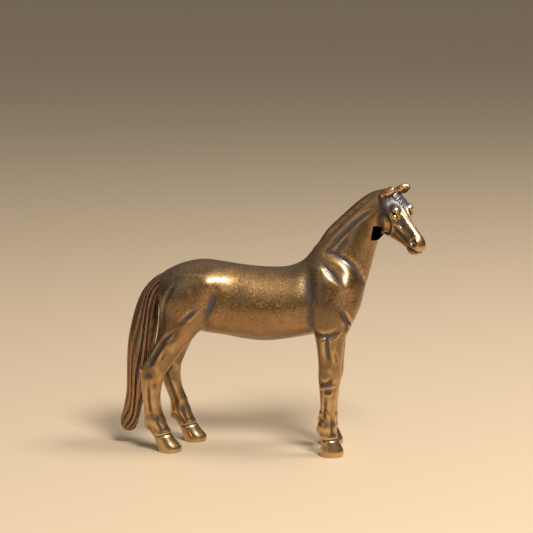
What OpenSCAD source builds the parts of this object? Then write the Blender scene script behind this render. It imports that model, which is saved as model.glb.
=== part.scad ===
// Standing horse statuette in cast brass, built from chased castings
// that meet on flat seams and are pinned together with round dowels.
// The horse looks along +X and turns its head to its right, towards -Y.
// Origin: on the resting surface, under the middle of the horse.

/* [Size and stance] */
// Height of the withers above the resting surface
withers_height = 34.6; // [30:0.2:60]
// Half the distance between the left and right legs
leg_spread = 4.0; // [3.6:0.1:4.3]
// How far the left hind hoof stands ahead of the right one
hind_stride = 3.5; // [0:0.1:4]
// How far the left fore hoof stands behind the right one
fore_stagger = 0.7; // [0:0.1:1.5]
// Half the width of the barrel
barrel_half_width = 5.7; // [5:0.1:6.2]

/* [Head] */
// Turn of the head to the horse's right
head_turn = 43; // [34:1:46]
// Slope of the face below the horizontal
head_slope = 44; // [40:1:50]
// Tilt of the head, right side down
head_tilt = 5; // [0:1:8]
// Diameter of the inset eyes
eye_d = 1.08; // [0.8:0.02:1.1]
// Length of the right ear
right_ear_length = 2.4; // [2:0.1:3.4]
// Length of the left ear
left_ear_length = 2.5; // [2:0.1:3.4]

/* [Dowels] */
// Diameter of the leg, tail and head dowels
dowel_d = 1.5; // [1.2:0.1:1.6]
// Diameter of the neck dowel
neck_dowel_d = 2.4; // [1.8:0.1:3]
// Depth that a leg or neck dowel reaches into each casting
dowel_depth = 3.0; // [2:0.25:3.5]
// Depth that the head and tail dowels reach into each casting
short_dowel_depth = 1.8; // [1.4:0.1:2]
// Radial gap filled by the braze around a dowel
braze_gap = 0.03; // [0.02:0.01:0.06]

/* [Finish of the surface] */
// Number of sides of a cross-section
ring_sides = 20; // [16:2:28]
// Number of steps between two measured cross-sections
ring_steps = 2; // [2:1:3]

/* [Hidden] */

modelled_withers = 34.6;                       // the tables below draw a horse this high
size_factor = withers_height / modelled_withers;
brass = [0.55, 0.42, 0.22];
bright_brass = [0.78, 0.60, 0.30];
rod_brass = [0.72, 0.58, 0.28];
fine = 48;                                     // $fn of every round part
far_away = 60;                                 // edge of the blocks that trim a casting

// A cross-section is [x, z of its upper or rear end, x, z of its lower or front end,
// y of its middle, half its width, fullness], where a positive fullness widens the first end.

// Trunk, from the buttocks to the base of the neck
trunk_sections = [
    [-20.1, 32.3, -20.1, 26.4, 0, 2.2, 0],
    [-19.6, 32.6, -19.8, 24.4, 0, 3.6, 0],
    [-18.2, 33.4, -18.3, 22.8, 0, 4.9, 0],
    [-15.4, 34.5, -15.2, 22.0, 0, barrel_half_width, 0],
    [-12.2, 35.0, -12.0, 21.6, 0, barrel_half_width, -0.05],
    [-8.6, 34.6, -8.6, 21.2, 0, barrel_half_width, -0.08],
    [-5.0, 34.1, -5.0, 20.6, 0, barrel_half_width, -0.10],
    [-1.0, 33.8, -1.0, 20.3, 0, barrel_half_width, -0.10],
    [2.6, 33.9, 3.4, 20.8, 0, barrel_half_width - 0.2, -0.10],
    [4.8, 34.6, 8.0, 21.6, 0, barrel_half_width - 0.6, -0.10],
    [6.0, 35.4, 12.6, 23.0, 0, barrel_half_width - 0.7, -0.10],
    [7.0, 36.6, 15.7, 26.0, 0, 4.6, -0.14],
    [8.2, 38.2, 17.1, 31.0, 0, 3.8, -0.20]];

// Neck, from the same last section of the trunk up to the poll
neck_sections = [
    trunk_sections[len(trunk_sections) - 1],
    [10.6, 40.7, 18.0, 34.4, 0, 3.1, -0.22],
    [13.2, 43.3, 18.8, 37.6, -0.1, 2.4, -0.20],
    [15.8, 45.7, 19.6, 40.0, -0.4, 1.9, -0.15],
    [18.4, 47.4, 20.8, 41.2, -0.9, 1.5, -0.08],
    [21.0, 48.0, 22.2, 42.2, -1.5, 1.3, 0]];

// Band of mane along the crest of the neck
mane_sections = [
    [8.6, 38.6, 9.4, 37.9, 0, 0.5, 0.2],
    [10.1, 40.8, 11.2, 39.6, 0, 0.75, 0.2],
    [12.8, 43.5, 13.9, 42.2, 0, 0.75, 0.2],
    [15.4, 45.9, 16.2, 44.4, -0.2, 0.75, 0.2],
    [17.9, 47.6, 18.2, 45.9, -0.5, 0.75, 0.2],
    [20.8, 48.4, 20.4, 46.6, -0.6, 0.7, 0.2]];

// Head, in its own frame: x runs down the face from the poll, z stands out of the face
head_sections = [
    [-2.2, -1.2, -3.0, -4.8, 0, 1.5, 0],
    [-0.8, -0.3, -0.8, -6.3, 0, 2.0, 0],
    [1.4, 0.25, 1.6, -7.2, 0, 2.3, -0.05],
    [3.4, 0.35, 3.6, -7.0, 0, 2.4, 0.05],
    [5.0, 0.2, 5.2, -6.2, 0, 2.1, 0.10],
    [6.6, 0, 6.8, -5.3, 0, 1.65, 0.05],
    [8.2, -0.1, 8.2, -4.65, 0, 1.35, 0],
    [9.6, -0.1, 9.5, -4.2, 0, 1.3, 0],
    [10.7, -0.3, 10.4, -4.1, 0, 1.4, 0],
    [11.6, -0.8, 11.3, -3.6, 0, 1.2, 0],
    [12.1, -1.5, 11.8, -2.9, 0, 0.7, 0]];
// Forelock, in the head's frame
forelock_sections = [
    [-1.0, 0.3, -1.1, -0.6, 0, 0.45, 0],
    [0.4, 0.85, 0.3, -0.4, 0, 0.6, 0],
    [1.8, 0.8, 1.8, -0.2, 0, 0.55, 0],
    [2.7, 0.6, 2.7, 0, 0, 0.25, 0]];
poll = [21.55, -1.3, 47.7];

// Foreleg: [z, x of the back, x of the front, half width], from the sole to the elbow seam
foreleg_profile = [
    [0, 9.2, 13.4, 1.95], [1.0, 9.2, 13.5, 1.9], [2.2, 9.4, 12.9, 1.65], [3.2, 9.3, 12.4, 1.4],
    [4.2, 8.8, 12.2, 1.35], [5.2, 8.6, 12.1, 1.45], [7.2, 9.0, 11.9, 1.2], [9.8, 9.2, 12.0, 1.15],
    [12.2, 9.0, 12.4, 1.4], [13.8, 8.9, 12.7, 1.55], [15.4, 8.9, 12.8, 1.5], [18.0, 8.7, 13.1, 1.65],
    [21.2, 8.3, 13.4, 1.85]];
// Shoulder, from the elbow seam up into the trunk: the same, with y of its middle
shoulder_profile = [
    [21.2, 8.3, 13.4, 1.85, leg_spread], [23.8, 7.6, 14.7, 2.2, 3.6],
    [27.5, 7.0, 15.5, 2.5, 3.0], [31.5, 7.2, 14.6, 2.2, 2.6], [34.0, 7.6, 12.0, 1.2, 2.2]];
// Hind leg, from the sole to the seam above the gaskin
hind_leg_profile = [
    [0, -20.4, -16.3, 1.95], [0.9, -20.6, -16.2, 1.9], [2.1, -21.0, -17.2, 1.65], [3.2, -21.6, -17.9, 1.45],
    [4.2, -22.4, -18.4, 1.4], [5.4, -22.9, -19.0, 1.45], [7.4, -23.0, -19.6, 1.2], [9.8, -23.3, -20.0, 1.2],
    [12.2, -23.5, -19.7, 1.4], [14.4, -23.8, -19.0, 1.5], [15.6, -23.7, -18.2, 1.4], [17.0, -22.5, -17.2, 1.6],
    [20.0, -20.9, -14.9, 2.05]];
// Thigh, from the gaskin seam up into the trunk
thigh_profile = [
    [20.0, -20.9, -14.9, 2.05, leg_spread], [22.5, -20.4, -12.8, 2.4, 3.7],
    [25.5, -20.2, -10.6, 2.7, 3.4], [29.0, -19.8, -9.4, 2.9, 3.0], [32.5, -17.6, -10.6, 2.0, 2.4]];

// Tail, from the dock to the tip
tail_sections = [
    [-20.1, 32.3, -20.1, 29.0, 0, 1.25, 0],
    [-22.0, 31.0, -20.7, 27.8, 0, 1.35, 0],
    [-23.8, 28.8, -20.8, 26.2, 0, 1.5, 0],
    [-25.3, 25.0, -20.9, 23.6, 0, 1.75, 0],
    [-26.4, 20.0, -21.5, 19.6, 0, 1.95, 0],
    [-26.8, 15.0, -21.9, 15.0, 0, 1.95, 0],
    [-26.9, 10.4, -22.3, 9.4, 0, 1.8, 0],
    [-27.4, 7.2, -22.7, 6.0, 0, 1.55, 0],
    [-28.0, 5.0, -23.6, 4.3, 0, 1.2, 0],
    [-27.7, 3.1, -25.6, 2.8, 0, 0.7, 0]];

head_seam_turn = 25;          // the seam behind the jaw turns less than the head
head_seam_slope = -10;        // and leans back towards the throat
head_seam = [19.6, -0.6, 44.5];
eye_at = [4.4, 1.72, -0.88];  // eye, in the head's frame, mirrored for the other side
// Each ear: length, lean forward of the face's normal, splay outward, how far its hollow turns inward,
// and its foot in the head's frame
right_ear = [right_ear_length, 20, -4, 25, [-0.15, -1.45, -0.1]];
left_ear = [left_ear_length, -4, 40, 24, [-0.25, 1.7, -0.1]];
fore_bend = 9.0;              // the left foreleg is set back from this height down
neck_seam = [12.65, 0, 34.6]; // middle of the seam at the base of the neck
neck_slope = 51;              // slope of the neck dowel
tail_seam = [-20.1, 0, 30.6];
tail_slope = 25;              // slope of the tail dowel
fore_seam = [11.0, leg_spread, 21.2];
hind_seam = [-17.9, leg_spread, 20.0];
gaskin_slope = 60;            // slope of the hind leg dowels

// ---- curves ----

// Point at share t of the way from b to c on a smooth curve through a, b, c and d
function between(a, b, c, d, t) =
    0.5 * (2 * b + (c - a) * t + (2 * a - 5 * b + 4 * c - d) * t * t + (3 * b - a - 3 * c + d) * t * t * t);

// A table with ring_steps - 1 rows added between each two, along the smooth curve
function smoothed(rows) =
    let (last = len(rows) - 1)
    [for (i = [0 : last - 1], j = [0 : ring_steps - 1])
        between(rows[max(i - 1, 0)], rows[i], rows[i + 1], rows[min(i + 2, last)], j / ring_steps),
     rows[last]];

// The points of one cross-section
function ring(s) =
    let (mid = [(s[0] + s[2]) / 2, s[4], (s[1] + s[3]) / 2], reach = [(s[0] - s[2]) / 2, 0, (s[1] - s[3]) / 2])
    [for (i = [0 : ring_sides - 1])
        let (t = 360 * i / ring_sides)
        mid + reach * cos(t) + [0, s[5] * (1 + s[6] * cos(t)) * sin(t), 0]];

// A leg's row as a cross-section. side is 1 for the left leg, and shift moves it forward.
function leg_section(row, side, shift, y) = [row[1] + shift, row[0], row[2] + shift, row[0], side * y, row[3], 0];

// Share of a stride's shift at height z: none above start_z, all of it below full_z
function stride_share(z, start_z, full_z) = max(0, min(1, (start_z - z) / (start_z - full_z)));

// ---- solids ----

// One closed casting through a table of cross-sections
module casting(sections) {
    rings = [for (s = smoothed(sections)) ring(s)];
    n = ring_sides;
    last = len(rings) - 1;
    walls = [for (i = [0 : last - 1], j = [0 : n - 1])
        let (a = i * n + j, b = i * n + (j + 1) % n)
        each [[a, b, a + n], [b, b + n, a + n]]];
    caps = [[for (j = [n - 1 : -1 : 0]) j], [for (j = [0 : n - 1]) last * n + j]];
    faces = concat(walls, caps);
    // The winding follows from which way the rings turn round the casting's run
    first = sections[0];
    run = [sections[1][0] + sections[1][2] - first[0] - first[2], 0,
           sections[1][1] + sections[1][3] - first[1] - first[3]];
    turn = cross([first[0] - first[2], 0, first[1] - first[3]], [0, 1, 0]) * run;
    polyhedron([for (r = rings) each r],
               turn > 0 ? [for (f = faces) [for (k = [len(f) - 1 : -1 : 0]) f[k]]] : faces,
               convexity = 6);
}

// A round dowel, or the hole for one with the gap all round, centred on a seam.
// slope is its angle above the horizontal, towards +X.
module dowel(at, slope, turn, d, depth, gap) {
    translate(at) rotate([0, 90 - slope, turn])
        cylinder(h = 2 * (depth + gap), d = d + 2 * gap, center = true, $fn = fine);
}

module neck_dowel_shape(gap = 0) dowel(neck_seam, neck_slope, 0, neck_dowel_d, dowel_depth, gap);
module head_dowel_shape(gap = 0)
    dowel(head_seam, head_seam_slope, -head_seam_turn, dowel_d, short_dowel_depth, gap);
module tail_dowel_shape(gap = 0) dowel(tail_seam, tail_slope, 0, dowel_d, short_dowel_depth, gap);
module leg_dowel_shapes(seam, slope, gap = 0)
    for (side = [-1, 1])
        dowel([seam[0], side * seam[1], seam[2]], slope, 0, dowel_d, dowel_depth, gap);

// The space on the head's side of the seam behind the jaw
module head_side() {
    translate(head_seam) rotate([0, -head_seam_slope, -head_seam_turn])
        translate([0, -far_away / 2, -far_away / 2]) cube(far_away);
}

// Places what is drawn in the head's own frame
module on_head() translate(poll) rotate([head_tilt, head_slope, -head_turn]) children();

module eye_ball(side) on_head() translate([eye_at[0], side * eye_at[1], eye_at[2]])
    sphere(d = eye_d, $fn = fine);

function ear_of(side) = side > 0 ? left_ear : right_ear;

// Outside of an ear, a leaf that tapers to a point
module ear_leaf(length) hull() {
    sphere(d = 1.1, $fn = 24);
    translate([-0.1, 0.35, length * 0.4]) sphere(d = 1.2, $fn = 24);
    translate([-0.1, -0.35, length * 0.4]) sphere(d = 1.2, $fn = 24);
    translate([0.15, 0, length - 0.25]) sphere(d = 0.5, $fn = 24);
}

// Stands what is drawn upright at the foot of an ear
module at_ear(side) {
    ear = ear_of(side);
    on_head() translate(ear[4]) rotate([-side * ear[2], ear[1], -side * ear[3]]) children();
}

module forelock_shape() on_head() casting(forelock_sections);

module foreleg_shape(side) casting([for (row = foreleg_profile)
    leg_section(row, side, side > 0 ? -fore_stagger * stride_share(row[0], fore_bend, 0) : 0, leg_spread)]);

module hind_leg_shape(side) casting([for (row = hind_leg_profile)
    leg_section(row, side, side > 0 ? hind_stride * stride_share(row[0], hind_seam[2], 8) : 0, leg_spread)]);

// ---- the horse's pieces ----

// Barrel, croup and chest with the shoulders and thighs, drilled for the dowels
module torso() color(brass) difference() {
    union() {
        casting(trunk_sections);
        for (side = [-1, 1]) {
            casting([for (row = shoulder_profile) leg_section(row, side, 0, row[4])]);
            casting([for (row = thigh_profile) leg_section(row, side, 0, row[4])]);
        }
    }
    neck_dowel_shape(braze_gap);
    tail_dowel_shape(braze_gap);
    leg_dowel_shapes(fore_seam, 90, braze_gap);
    leg_dowel_shapes(hind_seam, gaskin_slope, braze_gap);
}

// The crest is grooved where the mane beds into it
module neck() color(brass) difference() {
    casting(neck_sections);
    casting(mane_sections);
    head_side();
    neck_dowel_shape(braze_gap);
    head_dowel_shape(braze_gap);
}

module mane() color(brass) difference() {
    casting(mane_sections);
    head_side();
}

// The head is let in for the eyes, the ears and the forelock
module head() color(brass) difference() {
    intersection() {
        on_head() casting(head_sections);
        head_side();
    }
    for (side = [-1, 1]) {
        eye_ball(side);
        at_ear(side) ear_leaf(ear_of(side)[0]);
    }
    forelock_shape();
    head_dowel_shape(braze_gap);
}

// A leaf-shaped ear with a round hollow
module ear(side) color(brass) difference() {
    length = ear_of(side)[0];
    at_ear(side) ear_leaf(length);
    at_ear(side) translate([0.75, 0, length * 0.58]) rotate([0, 4, 0])
        cylinder(h = length * 0.7, d = 1.1, center = true, $fn = 24);
}

module eye(side) color(bright_brass) eye_ball(side);

module forelock() color(brass) intersection() {
    forelock_shape();
    head_side();
}

module foreleg(side) color(brass) difference() {
    foreleg_shape(side);
    leg_dowel_shapes(fore_seam, 90, braze_gap);
}

module hind_leg(side) color(brass) difference() {
    hind_leg_shape(side);
    leg_dowel_shapes(hind_seam, gaskin_slope, braze_gap);
}

module tail() color(brass) difference() {
    casting(tail_sections);
    tail_dowel_shape(braze_gap);
}

module neck_dowel() color(rod_brass) neck_dowel_shape();
module head_dowel() color(rod_brass) head_dowel_shape();
module tail_dowel() color(rod_brass) tail_dowel_shape();
module foreleg_dowels() color(rod_brass) leg_dowel_shapes(fore_seam, 90);
module hind_leg_dowels() color(rod_brass) leg_dowel_shapes(hind_seam, gaskin_slope);

scale(size_factor) {
    torso();
    neck();
    mane();
    head();
    ear(1);  // left_ear
    ear(-1);  // right_ear
    eye(1);  // left_eye
    eye(-1);  // right_eye
    forelock();
    foreleg(1);  // left_foreleg
    foreleg(-1);  // right_foreleg
    hind_leg(1);  // left_hind_leg
    hind_leg(-1);  // right_hind_leg
    tail();
    neck_dowel();
    head_dowel();
    tail_dowel();
    foreleg_dowels();
    hind_leg_dowels();
}
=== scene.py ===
from math import cos, sin, radians, tau

import bpy
import numpy as np
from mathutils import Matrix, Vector


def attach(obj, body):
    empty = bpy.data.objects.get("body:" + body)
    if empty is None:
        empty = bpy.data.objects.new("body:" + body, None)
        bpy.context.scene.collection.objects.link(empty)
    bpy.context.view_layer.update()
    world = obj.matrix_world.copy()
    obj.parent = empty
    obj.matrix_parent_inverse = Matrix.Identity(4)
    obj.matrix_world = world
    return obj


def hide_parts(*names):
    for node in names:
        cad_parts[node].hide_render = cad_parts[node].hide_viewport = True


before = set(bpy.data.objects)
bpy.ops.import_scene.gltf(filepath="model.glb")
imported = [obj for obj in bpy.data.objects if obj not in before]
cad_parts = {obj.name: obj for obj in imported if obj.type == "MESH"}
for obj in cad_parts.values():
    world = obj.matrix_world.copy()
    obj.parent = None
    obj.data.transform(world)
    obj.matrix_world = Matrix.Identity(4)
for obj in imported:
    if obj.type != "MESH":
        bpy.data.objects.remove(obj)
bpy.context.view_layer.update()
print("frame loaded")

mm = 0.001  # everything is sculpted in millimetres and built in metres


def putInScene(name, data):
    thing = bpy.data.objects.new(name, data)
    bpy.context.scene.collection.objects.link(thing)
    return thing


# the camera stands off the horse's right side, a little ahead

cameraLook = {
    "turn": 6.0,        # degrees towards the head
    "rise": 11.5,       # degrees above the level
    "distance": 330.0,
    "target": (0.0, 0.0, 23.8),
    "lens": 122.5,
    "aside": 0.0103,    # how far the target sits right of the middle, as a share of the picture's width
    "below": 0.1023,    # and below it
}


def placeCamera(c):
    turn, rise = radians(c["turn"]), radians(c["rise"])
    back = Vector((sin(turn) * cos(rise), -cos(turn) * cos(rise), sin(rise)))
    camera = putInScene("camera", bpy.data.cameras.new("camera"))
    camera.data.lens = c["lens"]
    camera.data.sensor_width = 36
    camera.data.clip_start = 0.01
    camera.data.clip_end = 50
    camera.location = (Vector(c["target"]) + back * c["distance"]) * mm
    # the target is off the middle, so the camera is turned away from it by those angles
    focal = c["lens"] / 36
    right = Vector((cos(turn), sin(turn), 0))
    up = back.cross(right)
    ahead = (-back * focal - right * c["aside"] + up * c["below"]).normalized()
    camera.rotation_euler = ahead.to_track_quat("-Z", "Y").to_euler()
    bpy.context.scene.camera = camera


placeCamera(cameraLook)

# clay is a field that is negative inside the horse, cut and swelled like wax

loftChunk, modelChunk = 40000, 400000    # points worked out at a time


def fade(v, low, high):
    t = np.clip((v - low) / (high - low), 0, 1)
    return t * t * (3 - 2 * t)


def bell(v, width):
    return np.exp(-(v / width) ** 2)


def softMin(a, b, k):
    h = np.maximum(k - np.abs(a - b), 0) / k
    return np.minimum(a, b) - h * h * k / 4


def smoothRows(rows, steps):
    rows = np.array(rows, float)
    last = len(rows) - 1
    out = []
    for i in range(last):
        a, b, c, d = rows[max(i - 1, 0)], rows[i], rows[i + 1], rows[min(i + 2, last)]
        for t in np.arange(steps) / steps:
            out.append((2 * b + (c - a) * t + (2 * a - 5 * b + 4 * c - d) * t * t
                        + (3 * b - a - 3 * c + d) * t ** 3) / 2)
    return np.array(out + [rows[-1]])


class Loft:
    # a solid through cross-sections [x, z of one end, x, z of the other, y, half width, fullness]
    def __init__(self, rows, steps=5):
        r = smoothRows(rows, steps)
        self.mid = (r[:, 0:2] + r[:, 2:4]) / 2
        arm = (r[:, 0:2] - r[:, 2:4]) / 2
        self.half = np.linalg.norm(arm, axis=1)
        self.arm = arm / self.half[:, None]
        self.y, self.wide, self.full = r[:, 4], r[:, 5], r[:, 6]
        travel = np.gradient(self.mid, axis=0)
        normal = np.stack([-self.arm[:, 1], self.arm[:, 0]], 1)
        self.normal = normal * np.sign(np.sum(normal * travel, 1))[:, None]
        reach = self.half.max()
        (x0, z0), (x1, z1) = self.mid.min(0) - reach, self.mid.max(0) + reach
        self.low = np.array([x0, (self.y - self.wide).min(), z0])
        self.high = np.array([x1, (self.y + self.wide).max(), z1])

    def place(self, q):
        # between which cross-sections a point lies, and where across them
        xz = q[:, [0, 2]]
        s = xz @ self.normal.T - np.sum(self.mid * self.normal, 1)
        k = np.clip(np.sum(s > 0, 1) - 1, 0, len(self.mid) - 2)
        rows = np.arange(len(q))
        s0, s1 = s[rows, k], s[rows, k + 1]
        t = np.clip(s0 / np.maximum(s0 - s1, 1e-6), 0, 1)

        def mixed(values):
            share = t[:, None] if values.ndim > 1 else t
            return values[k] * (1 - share) + values[k + 1] * share

        half = mixed(self.half)
        a = np.sum((xz - mixed(self.mid)) * mixed(self.arm), 1) / half
        aside = q[:, 1] - mixed(self.y)
        beyond = np.maximum(-s[:, 0], s[:, -1])
        along = (k + t) / (len(self.mid) - 1)
        return a, aside, mixed(self.wide), along, half, mixed(self.full), beyond

    def distance(self, p):
        out = np.empty(len(p), np.float32)
        for start in range(0, len(p), loftChunk):
            a, aside, wide, _, half, full, beyond = self.place(p[start:start + loftChunk])
            wide = wide * (1 + full * np.clip(a, -1, 1))
            b = aside / wide
            r = np.sqrt(a * a + b * b)
            slope = np.sqrt((a / half) ** 2 + (b / wide) ** 2) + 1e-6
            f = r * (r - 1) / slope
            past = np.hypot(np.maximum(f, 0), beyond) + np.minimum(f, 0) * 0.2
            out[start:start + loftChunk] = np.where(beyond > 0, past, f)
        return out


class Ball:
    # an ellipsoid, turned about the y axis
    def __init__(self, centre, radii, turn=0):
        self.centre, self.radii, self.turn = np.array(centre, float), np.array(radii, float), radians(turn)
        reach = max(radii)
        self.low, self.high = self.centre - reach, self.centre + reach

    def distance(self, p):
        q = p - self.centre
        c, s = cos(self.turn), sin(self.turn)
        q = np.stack([q[:, 0] * c + q[:, 2] * s, q[:, 1], -q[:, 0] * s + q[:, 2] * c], 1)
        a, b = np.linalg.norm(q / self.radii, axis=1), np.linalg.norm(q / self.radii ** 2, axis=1) + 1e-6
        return a * (a - 1) / b


class Limb:
    # a rod whose radius changes from one end to the other
    def __init__(self, a, b, ra, rb):
        self.a, self.b, self.ra, self.rb = np.array(a, float), np.array(b, float), ra, rb
        self.low = np.minimum(self.a, self.b) - max(ra, rb)
        self.high = np.maximum(self.a, self.b) + max(ra, rb)

    def distance(self, p):
        way = self.b - self.a
        t = np.clip((p - self.a) @ way / (way @ way), 0, 1)
        return np.linalg.norm(p - self.a - t[:, None] * way, axis=1) - (self.ra + (self.rb - self.ra) * t)


def alongLine(q, points):
    # distance to a smooth line through the points, and the share of the way along it
    line = smoothRows(points, 4) if len(points) > 2 else np.array(points, float)
    best = np.full(len(q), 1e9)
    share = np.zeros(len(q))
    for i in range(len(line) - 1):
        way = line[i + 1] - line[i]
        t = np.clip((q - line[i]) @ way / (way @ way + 1e-12), 0, 1)
        d = np.linalg.norm(q - line[i] - t[:, None] * way, axis=1)
        closer = d < best
        best[closer] = d[closer]
        share[closer] = (i + t[closer]) / (len(line) - 1)
    return best, share


class Clay:
    def __init__(self, points):
        self.p = points
        self.f = np.full(len(points), 5.0)
        self.dark = np.zeros(len(points))
        self.flat = points * (1, 0, 1)
        self.mask = None    # where cuts and rises are allowed

    def darken(self, amount):
        self.dark = np.maximum(self.dark, amount)

    def inside(self, low, high, spare, q=None):
        q = self.p if q is None else q
        return np.nonzero(np.all((q > low - spare) & (q < high + spare), axis=1))[0]

    def add(self, shape, k, q=None):
        # k is the size of the fillet where the shape joins
        i = self.inside(shape.low, shape.high, k + 1.2, q)
        if len(i):
            self.f[i] = softMin(self.f[i], shape.distance((self.p if q is None else q)[i]), k)

    def fillet(self, shape, k, q=None):
        # only the fillet of a neighbour that is a piece of its own
        i = self.inside(shape.low, shape.high, k + 0.5, q)
        if len(i):
            d = shape.distance((self.p if q is None else q)[i])
            self.f[i] += softMin(self.f[i], d, k) - np.minimum(self.f[i], d)

    def stroke(self, points, width, depth, q=None, dark=1.0, taper=0.15, mask=None):
        # a groove along a line, or a ridge where depth is negative
        q = self.p if q is None else q
        points = np.array(points, float)
        i = self.inside(points.min(0), points.max(0), 2.4 * width, q)
        if not len(i):
            return
        d, share = alongLine(q[i], points)
        amount = bell(d, width)
        if taper:
            amount *= 0.25 + 0.75 * fade(np.minimum(share, 1 - share), 0, taper)
        if mask is not None:
            amount *= mask[i]
        self.f[i] += depth * amount
        if depth > 0:
            self.dark[i] = np.maximum(self.dark[i], amount * dark)

    def swell(self, centre, radii, height, q=None, dark=0.0, mask=None):
        # a soft rise, or a hollow where height is negative
        q = self.p if q is None else q
        centre, radii = np.array(centre, float), np.array(radii, float)
        i = self.inside(centre, centre, 2.2 * radii, q)
        if not len(i):
            return
        amount = np.exp(-np.sum(((q[i] - centre) / radii) ** 2, axis=1))
        if mask is not None:
            amount *= mask[i]
        self.f[i] -= height * amount
        if dark:
            self.dark[i] = np.maximum(self.dark[i], amount * dark)

    def cut(self, points, width, depth, dark=1.0, taper=0.15):
        # a stroke drawn on the side of the horse, right through
        self.stroke([(x, 0, z) for x, z in points], width, depth, self.flat, dark, taper, self.mask)

    def rise(self, x, z, wide, high, height, dark=0.0):
        # a swelling seen from the side, right through
        self.swell((x, 0, z), (wide, 1e9, high), height, self.flat, dark, self.mask)


def surfaceNet(field, origin, step):
    # quads through the cells that the surface crosses
    shape = np.array(field.shape)
    cells = shape - 1
    stride = np.array([cells[1] * cells[2], cells[2], 1])
    inside = field < 0
    ids, sums, quads = [], [], []
    for axis in range(3):
        near, far = [slice(None)] * 3, [slice(None)] * 3
        near[axis], far[axis] = slice(0, -1), slice(1, None)
        change = inside[tuple(near)] != inside[tuple(far)]
        at = np.argwhere(change)
        other = [a for a in range(3) if a != axis]
        at = at[np.all((at[:, other] > 0) & (at[:, other] < shape[other] - 1), axis=1)]
        a = field[tuple(at.T)]
        ahead = at.copy()
        ahead[:, axis] += 1
        b = field[tuple(ahead.T)]
        point = at.astype(float)
        point[:, axis] += a / (a - b)
        around = []
        for du, dv in ((0, 0), (1, 0), (1, 1), (0, 1)):
            cell = at.copy()
            cell[:, other[0]] -= du
            cell[:, other[1]] -= dv
            around.append(cell @ stride)
            ids.append(around[-1])
            sums.append(point)
        quad = np.stack(around, 1)
        flip = (a < 0) == (axis == 1)
        quad[flip] = quad[flip][:, ::-1]
        quads.append(quad)
    ids, sums, quads = np.concatenate(ids), np.concatenate(sums), np.concatenate(quads)
    used, index = np.unique(ids, return_inverse=True)
    count = np.bincount(index)
    vertices = np.stack([np.bincount(index, sums[:, i]) / count for i in range(3)], 1)
    quads = np.searchsorted(used, quads)
    return vertices * step + origin, quads


def neighbours(quads, total):
    edges = np.concatenate([quads[:, [i, (i + 1) % 4]] for i in range(4)])
    edges = np.unique(np.sort(edges, axis=1), axis=0)
    a = np.concatenate([edges[:, 0], edges[:, 1]])
    b = np.concatenate([edges[:, 1], edges[:, 0]])
    return a, b, np.bincount(a, minlength=total)


def mainIsland(vertices, quads):
    # leaves out the crumbs that touch nothing
    a, b = neighbours(quads, len(vertices))[:2]
    group = np.arange(len(vertices))
    settled = False
    while not settled:
        least = group.copy()
        np.minimum.at(least, a, group[b])
        least = least[least]
        settled = np.array_equal(least, group)
        group = least
    quads = quads[group[quads[:, 0]] == np.bincount(group).argmax()]
    used, where = np.unique(quads, return_inverse=True)
    return vertices[used], where.reshape(-1, 4)


def relax(values, links, passes, share=0.5):
    a, b, count = links
    for _ in range(passes):
        sums = [np.bincount(a, values[b, i], minlength=len(count)) for i in range(values.shape[1])]
        mean = np.stack(sums, 1) / np.maximum(count, 1)[:, None]
        values = values + share * (mean - values)
    return values


def faceNormals(vertices, quads):
    a, b, c, d = [vertices[quads[:, corner]] for corner in range(4)]
    n = np.cross(c - a, d - b)
    out = np.zeros_like(vertices)
    for corner in range(4):
        for i in range(3):
            out[:, i] += np.bincount(quads[:, corner], n[:, i], minlength=len(vertices))
    return out / np.maximum(np.linalg.norm(out, axis=1), 1e-12)[:, None]


grooveMix = {"sharp": 0.35, "spread": 0.75}


def sculpt(model, low, high, step, scales=(0.35, 1.0)):
    # model takes points and returns clay; the field is worked out finely only near the surface
    coarse = 4
    low = np.floor(np.array(low) / (step * coarse)) * step * coarse
    counts = np.ceil((np.array(high) - low) / (step * coarse)).astype(int)
    axes = [low[i] + np.arange(counts[i] + 1) * step * coarse for i in range(3)]
    grid = np.stack(np.meshgrid(*axes, indexing="ij"), -1).reshape(-1, 3)
    field = model(grid).f.reshape(counts + 1).astype(np.float32)
    for axis in range(3):
        n = field.shape[axis]
        at = np.arange((n - 1) * coarse + 1) / coarse
        i = np.minimum(at.astype(int), n - 2)
        t = (at - i).astype(np.float32).reshape([-1 if k == axis else 1 for k in range(3)])
        field = np.take(field, i, axis) * (1 - t) + np.take(field, i + 1, axis) * t
    close = np.argwhere(np.abs(field) < step * coarse * 0.9 + 0.4)
    for start in range(0, len(close), modelChunk):
        part = close[start:start + modelChunk]
        field[tuple(part.T)] = model(low + part * step).f
    vertices, quads = mainIsland(*surfaceNet(field, low, step))
    links = neighbours(quads, len(vertices))
    vertices = relax(vertices, links, 1)
    normals = faceNormals(vertices, quads)
    for _ in range(2):
        clay = model(vertices)
        vertices = vertices - normals * np.clip(clay.f, -step, step)[:, None]
    normals = faceNormals(vertices, quads)
    # how far the surface lies below its surroundings, close by and further round
    hollow = []
    smooth = vertices
    done = 0
    for scale in scales:
        passes = int(min(60, 2 * (scale / step) ** 2))
        smooth = relax(smooth, links, max(passes - done, 1), 0.7)
        done = passes
        hollow.append(np.sum((smooth - vertices) * normals, 1) / scale)
    # the patina runs a little way out of the grooves
    spread = relax(clay.dark[:, None], links, int((scales[0] / step) ** 2), 0.7)[:, 0]
    grooveAndShade = grooveMix["sharp"] * clay.dark + grooveMix["spread"] * spread
    return {"vertices": vertices, "normals": normals, "quads": quads, "faces": quads.tolist(),
            "near": hollow[0], "wide": hollow[1], "grooveAndShade": grooveAndShade}


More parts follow.
